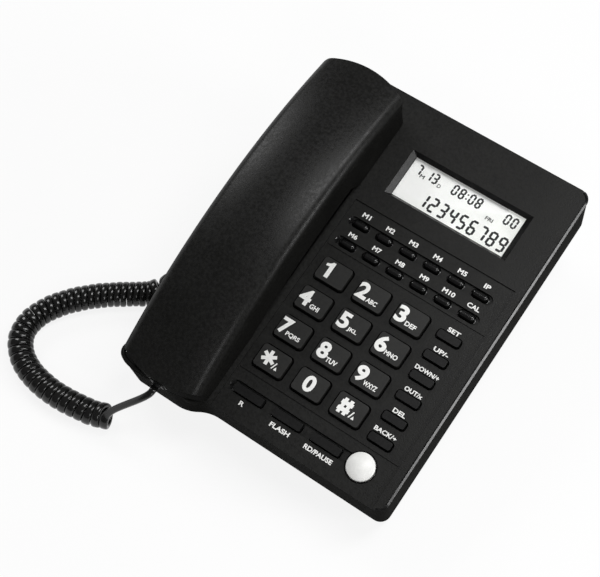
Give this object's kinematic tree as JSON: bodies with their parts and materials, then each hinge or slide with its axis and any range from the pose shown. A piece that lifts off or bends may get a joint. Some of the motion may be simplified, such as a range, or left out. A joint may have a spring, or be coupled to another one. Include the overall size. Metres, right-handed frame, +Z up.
{
  "type": "push-button desk telephone",
  "caption": "Push-button desk phone with a sloping base, caller display, dial and memory keys, a lift-off handset in a cradle and a curly cord.",
  "frame": {"origin": "on the table, below the middle of the phone without its cord", "axes": "+X to the right as the user sees it, +Y to the back, up the slope of the face, +Z up"},
  "size_m": [0.2268, 0.2414, 0.0936],
  "materials": {
    "base_casing": "fine matt grain, black",
    "bottom_casing": "matt, black",
    "handset_casing": "satin grain, black",
    "dial_key": "smooth matt, dark grey, white figures",
    "small_key": "smooth, black",
    "white_button": "smooth, white",
    "lens": "clear window",
    "display": "pale grey liquid crystal display",
    "foot_rubber": "matt black rubber",
    "steel": "zinc plated steel",
    "board": "green circuit board",
    "membrane": "grey silicone",
    "hook_plastic": "smooth black",
    "switch_plastic": "black switch body",
    "speaker_metal": "dark painted steel",
    "capsule_metal": "plain can",
    "jack_plastic": "black moulding",
    "plug_plastic": "black moulding",
    "cord": "glossy black jacket",
    "weight_iron": "raw bar"
  },
  "bodies": {
    "base": {"base_top_shell": "base_casing", "base_bottom_shell": "bottom_casing", "rubber_feet": "foot_rubber", "base_screws": "steel", "lcd_lens": "lens", "lcd_panel": "display", "main_board": "board", "board_screws": "steel", "key_membrane": "membrane", "hook_spring": "steel", "hook_switch": "switch_plastic", "loudspeaker": "speaker_metal", "base_microphone": "capsule_metal", "line_jack": "jack_plastic", "base_handset_jack": "jack_plastic", "base_plug": "plug_plastic", "curly_cord": "cord"},
    "handset": {"handset_back_shell": "handset_casing", "handset_face_shell": "handset_casing", "receiver_capsule": "speaker_metal", "handset_microphone": "capsule_metal", "handset_weight": "weight_iron", "handset_screws": "steel", "handset_jack": "jack_plastic", "handset_plug": "plug_plastic"},
    "hook": {"hook_plunger": "hook_plastic"},
    "1_key": {"key_1": "dial_key"},
    "2_key": {"key_2": "dial_key"},
    "3_key": {"key_3": "dial_key"},
    "4_key": {"key_4": "dial_key"},
    "5_key": {"key_5": "dial_key"},
    "6_key": {"key_6": "dial_key"},
    "7_key": {"key_7": "dial_key"},
    "8_key": {"key_8": "dial_key"},
    "9_key": {"key_9": "dial_key"},
    "star_key": {"key_star": "dial_key"},
    "0_key": {"key_0": "dial_key"},
    "hash_key": {"key_hash": "dial_key"},
    "m1_key": {"key_m1": "small_key"},
    "m2_key": {"key_m2": "small_key"},
    "m3_key": {"key_m3": "small_key"},
    "m4_key": {"key_m4": "small_key"},
    "m5_key": {"key_m5": "small_key"},
    "ip_key": {"key_ip": "small_key"},
    "m6_key": {"key_m6": "small_key"},
    "m7_key": {"key_m7": "small_key"},
    "m8_key": {"key_m8": "small_key"},
    "m9_key": {"key_m9": "small_key"},
    "m10_key": {"key_m10": "small_key"},
    "cal_key": {"key_cal": "small_key"},
    "set_key": {"key_set": "small_key"},
    "up_key": {"key_up": "small_key"},
    "down_key": {"key_down": "small_key"},
    "out_key": {"key_out": "small_key"},
    "del_key": {"key_del": "small_key"},
    "back_key": {"key_back": "small_key"},
    "r_key": {"key_r": "small_key"},
    "flash_key": {"key_flash": "small_key"},
    "redial_key": {"key_redial": "small_key"},
    "handsfree": {"handsfree_button": "white_button"}
  },
  "joints": [
    {"name": "handset_lift", "type": "slide", "parent": "base", "child": "handset", "axis": [0, -0.1736, 0.9848], "range_m": [0, 0.06], "deforming": ["curly_cord"]},
    {"name": "hook_rise", "type": "slide", "parent": "base", "child": "hook", "axis": [0, -0.1736, 0.9848], "range_m": [0, 0.005], "deforming": ["hook_spring"]},
    {"name": "1_key_press", "type": "slide", "parent": "base", "child": "1_key", "axis": [0, 0.1736, -0.9848], "range_m": [0, 0.0015], "stiffness_N_per_m": 350},
    {"name": "2_key_press", "type": "slide", "parent": "base", "child": "2_key", "axis": [0, 0.1736, -0.9848], "range_m": [0, 0.0015], "stiffness_N_per_m": 350},
    {"name": "3_key_press", "type": "slide", "parent": "base", "child": "3_key", "axis": [0, 0.1736, -0.9848], "range_m": [0, 0.0015], "stiffness_N_per_m": 350},
    {"name": "4_key_press", "type": "slide", "parent": "base", "child": "4_key", "axis": [0, 0.1736, -0.9848], "range_m": [0, 0.0015], "stiffness_N_per_m": 350},
    {"name": "5_key_press", "type": "slide", "parent": "base", "child": "5_key", "axis": [0, 0.1736, -0.9848], "range_m": [0, 0.0015], "stiffness_N_per_m": 350},
    {"name": "6_key_press", "type": "slide", "parent": "base", "child": "6_key", "axis": [0, 0.1736, -0.9848], "range_m": [0, 0.0015], "stiffness_N_per_m": 350},
    {"name": "7_key_press", "type": "slide", "parent": "base", "child": "7_key", "axis": [0, 0.1736, -0.9848], "range_m": [0, 0.0015], "stiffness_N_per_m": 350},
    {"name": "8_key_press", "type": "slide", "parent": "base", "child": "8_key", "axis": [0, 0.1736, -0.9848], "range_m": [0, 0.0015], "stiffness_N_per_m": 350},
    {"name": "9_key_press", "type": "slide", "parent": "base", "child": "9_key", "axis": [0, 0.1736, -0.9848], "range_m": [0, 0.0015], "stiffness_N_per_m": 350},
    {"name": "star_key_press", "type": "slide", "parent": "base", "child": "star_key", "axis": [0, 0.1736, -0.9848], "range_m": [0, 0.0015], "stiffness_N_per_m": 350},
    {"name": "0_key_press", "type": "slide", "parent": "base", "child": "0_key", "axis": [0, 0.1736, -0.9848], "range_m": [0, 0.0015], "stiffness_N_per_m": 350},
    {"name": "hash_key_press", "type": "slide", "parent": "base", "child": "hash_key", "axis": [0, 0.1736, -0.9848], "range_m": [0, 0.0015], "stiffness_N_per_m": 350},
    {"name": "m1_key_press", "type": "slide", "parent": "base", "child": "m1_key", "axis": [0, 0.1736, -0.9848], "range_m": [0, 0.0012], "stiffness_N_per_m": 350},
    {"name": "m2_key_press", "type": "slide", "parent": "base", "child": "m2_key", "axis": [0, 0.1736, -0.9848], "range_m": [0, 0.0012], "stiffness_N_per_m": 350},
    {"name": "m3_key_press", "type": "slide", "parent": "base", "child": "m3_key", "axis": [0, 0.1736, -0.9848], "range_m": [0, 0.0012], "stiffness_N_per_m": 350},
    {"name": "m4_key_press", "type": "slide", "parent": "base", "child": "m4_key", "axis": [0, 0.1736, -0.9848], "range_m": [0, 0.0012], "stiffness_N_per_m": 350},
    {"name": "m5_key_press", "type": "slide", "parent": "base", "child": "m5_key", "axis": [0, 0.1736, -0.9848], "range_m": [0, 0.0012], "stiffness_N_per_m": 350},
    {"name": "ip_key_press", "type": "slide", "parent": "base", "child": "ip_key", "axis": [0, 0.1736, -0.9848], "range_m": [0, 0.0012], "stiffness_N_per_m": 350},
    {"name": "m6_key_press", "type": "slide", "parent": "base", "child": "m6_key", "axis": [0, 0.1736, -0.9848], "range_m": [0, 0.0012], "stiffness_N_per_m": 350},
    {"name": "m7_key_press", "type": "slide", "parent": "base", "child": "m7_key", "axis": [0, 0.1736, -0.9848], "range_m": [0, 0.0012], "stiffness_N_per_m": 350},
    {"name": "m8_key_press", "type": "slide", "parent": "base", "child": "m8_key", "axis": [0, 0.1736, -0.9848], "range_m": [0, 0.0012], "stiffness_N_per_m": 350},
    {"name": "m9_key_press", "type": "slide", "parent": "base", "child": "m9_key", "axis": [0, 0.1736, -0.9848], "range_m": [0, 0.0012], "stiffness_N_per_m": 350},
    {"name": "m10_key_press", "type": "slide", "parent": "base", "child": "m10_key", "axis": [0, 0.1736, -0.9848], "range_m": [0, 0.0012], "stiffness_N_per_m": 350},
    {"name": "cal_key_press", "type": "slide", "parent": "base", "child": "cal_key", "axis": [0, 0.1736, -0.9848], "range_m": [0, 0.0012], "stiffness_N_per_m": 350},
    {"name": "set_key_press", "type": "slide", "parent": "base", "child": "set_key", "axis": [0, 0.1736, -0.9848], "range_m": [0, 0.0012], "stiffness_N_per_m": 350},
    {"name": "up_key_press", "type": "slide", "parent": "base", "child": "up_key", "axis": [0, 0.1736, -0.9848], "range_m": [0, 0.0012], "stiffness_N_per_m": 350},
    {"name": "down_key_press", "type": "slide", "parent": "base", "child": "down_key", "axis": [0, 0.1736, -0.9848], "range_m": [0, 0.0012], "stiffness_N_per_m": 350},
    {"name": "out_key_press", "type": "slide", "parent": "base", "child": "out_key", "axis": [0, 0.1736, -0.9848], "range_m": [0, 0.0012], "stiffness_N_per_m": 350},
    {"name": "del_key_press", "type": "slide", "parent": "base", "child": "del_key", "axis": [0, 0.1736, -0.9848], "range_m": [0, 0.0012], "stiffness_N_per_m": 350},
    {"name": "back_key_press", "type": "slide", "parent": "base", "child": "back_key", "axis": [0, 0.1736, -0.9848], "range_m": [0, 0.0012], "stiffness_N_per_m": 350},
    {"name": "r_key_press", "type": "slide", "parent": "base", "child": "r_key", "axis": [0, 0.1736, -0.9848], "range_m": [0, 0.0012], "stiffness_N_per_m": 350},
    {"name": "flash_key_press", "type": "slide", "parent": "base", "child": "flash_key", "axis": [0, 0.1736, -0.9848], "range_m": [0, 0.0012], "stiffness_N_per_m": 350},
    {"name": "redial_key_press", "type": "slide", "parent": "base", "child": "redial_key", "axis": [0, 0.1736, -0.9848], "range_m": [0, 0.0012], "stiffness_N_per_m": 350},
    {"name": "handsfree_press", "type": "slide", "parent": "base", "child": "handsfree", "axis": [0, 0.1736, -0.9848], "range_m": [0, 0.0012], "stiffness_N_per_m": 350}
  ],
  "couplings": [
    {"joint": "hook_rise", "follows": "handset_lift", "ratio": 0.083333}
  ]
}
